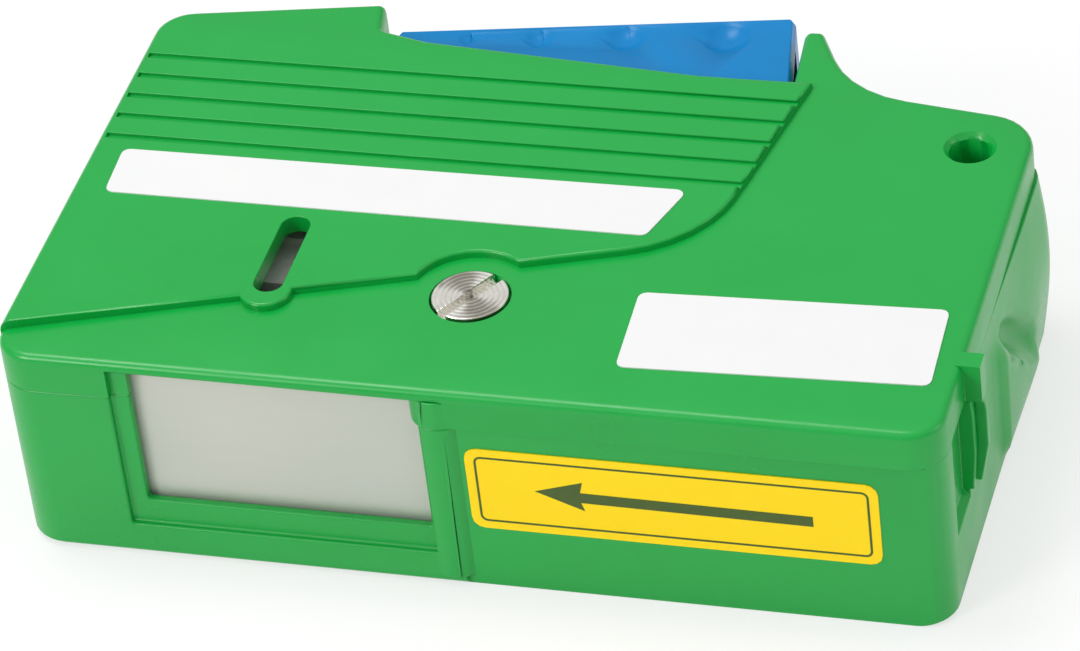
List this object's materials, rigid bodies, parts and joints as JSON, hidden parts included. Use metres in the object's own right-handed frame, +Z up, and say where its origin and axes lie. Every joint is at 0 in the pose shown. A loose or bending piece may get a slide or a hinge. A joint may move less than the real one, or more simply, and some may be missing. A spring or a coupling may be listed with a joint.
{
  "type": "fibre optic connector cleaner cassette",
  "caption": "Hand-held tape cassette for cleaning fibre optic connectors, with a thumb lever, sliding window shutter, sight slot, coin screw and lanyard hole.",
  "frame": {"origin": "middle of the extents seen from above, on the base plane", "axes": "+X from the window end to the lanyard hole end, +Y from the window front to the lever, +Z up from the base"},
  "size_m": [0.1172, 0.0804, 0.0306],
  "materials": {
    "green_plastic": "satin moulded",
    "blue_plastic": "satin moulded",
    "shutter_grey": "satin",
    "steel": "bright",
    "nickel": "turned",
    "natural_plastic": "moulded",
    "dark_plastic": "moulded",
    "rubber_pad": "matt",
    "felt": "felted",
    "tape": "fine woven",
    "brass": "knurled",
    "white_label": "laminated",
    "yellow_label": "laminated"
  },
  "bodies": {
    "case": {"lower_case": "green_plastic", "lever_pivot_pin": "steel", "lever_return_spring": "steel", "ferrule_face_plate": "dark_plastic", "platen_pad": "rubber_pad", "pad_holder": "natural_plastic", "guide_pins": "steel", "cleaning_tape": "tape", "stop_pawl_pin": "steel", "stop_pawl_spring": "steel", "brake_washer": "felt", "brake_spring": "steel", "threaded_insert": "brass", "arrow_label": "yellow_label"},
    "cover": {"upper_cover": "green_plastic", "title_label": "white_label", "info_label": "white_label"},
    "coin_screw": {"coin_screw": "nickel", "screw_retaining_ring": "steel"},
    "lever": {"lever": "blue_plastic"},
    "push_bar": {"push_bar": "natural_plastic", "drive_pawl_pin": "steel", "drive_pawl_spring": "steel"},
    "drive_pawl": {"drive_pawl": "steel"},
    "shutter_gear": {"shutter_gear": "natural_plastic"},
    "shutter": {"shutter": "shutter_grey"},
    "takeup_reel": {"takeup_reel_core": "natural_plastic", "takeup_tape_roll": "tape", "ratchet_wheel": "natural_plastic"},
    "supply_reel": {"supply_reel_core": "natural_plastic", "supply_tape_roll": "tape"},
    "stop_pawl": {"stop_pawl": "steel"}
  },
  "joints": [
    {"name": "lever_pivot", "type": "hinge", "parent": "case", "child": "lever", "pos_m": [-0.0341, 0.02842, 0], "axis": [0, 0, 1], "range_deg": [-11, 0], "stiffness_Nm_per_rad": 1.2, "springref_deg": 20.05},
    {"name": "push_bar_slide", "type": "slide", "parent": "case", "child": "push_bar", "axis": [0, -1, 0], "range_m": [0, 0.00701], "deforming": ["lever_return_spring"]},
    {"name": "shutter_gear_axle", "type": "hinge", "parent": "case", "child": "shutter_gear", "pos_m": [0.01345, -0.0235, 0], "axis": [0, 0, 1], "range_deg": [0, 167.16]},
    {"name": "shutter_slide", "type": "slide", "parent": "case", "child": "shutter", "axis": [1, 0, 0], "range_m": [0, 0.03413]},
    {"name": "takeup_reel_axle", "type": "hinge", "parent": "case", "child": "takeup_reel", "pos_m": [0.02545, 0.00162, 0], "axis": [0, 0, 1], "range_deg": [0, 20.05]},
    {"name": "supply_reel_axle", "type": "hinge", "parent": "case", "child": "supply_reel", "pos_m": [-0.03055, 0.00422, 0], "axis": [0, 0, 1], "range_deg": [0, 13.38]},
    {"name": "stop_pawl_pivot", "type": "hinge", "parent": "case", "child": "stop_pawl", "pos_m": [0.04695, -0.01038, 0], "axis": [0, 0, 1], "range_deg": [-8.45, 0]},
    {"name": "drive_pawl_pivot", "type": "hinge", "parent": "push_bar", "child": "drive_pawl", "pos_m": [0.00285, 0.01662, 0], "axis": [0, 0, 1], "range_deg": [-8, 0], "stiffness_Nm_per_rad": 0.002, "springref_deg": 5.73, "deforming": ["drive_pawl_spring"]},
    {"name": "coin_screw_turn", "type": "hinge", "parent": "cover", "child": "coin_screw", "pos_m": [-0.00384, -0.02157, 0], "axis": [0, 0, 1], "continuous": true},
    {"name": "cover_lift", "type": "slide", "parent": "case", "child": "cover", "axis": [0, 0, 1], "range_m": [0, 0.04]}
  ],
  "couplings": [
    {"joint": "push_bar_slide", "follows": "lever_pivot", "m_per_rad": -0.036461},
    {"joint": "shutter_gear_axle", "follows": "lever_pivot", "ratio": -15.192},
    {"joint": "shutter_slide", "follows": "lever_pivot", "m_per_rad": -0.17775},
    {"joint": "takeup_reel_axle", "follows": "lever_pivot", "ratio": -1.8182},
    {"joint": "supply_reel_axle", "follows": "lever_pivot", "ratio": -1.2121},
    {"joint": "stop_pawl_pivot", "follows": "lever_pivot", "ratio": 0.76364}
  ]
}
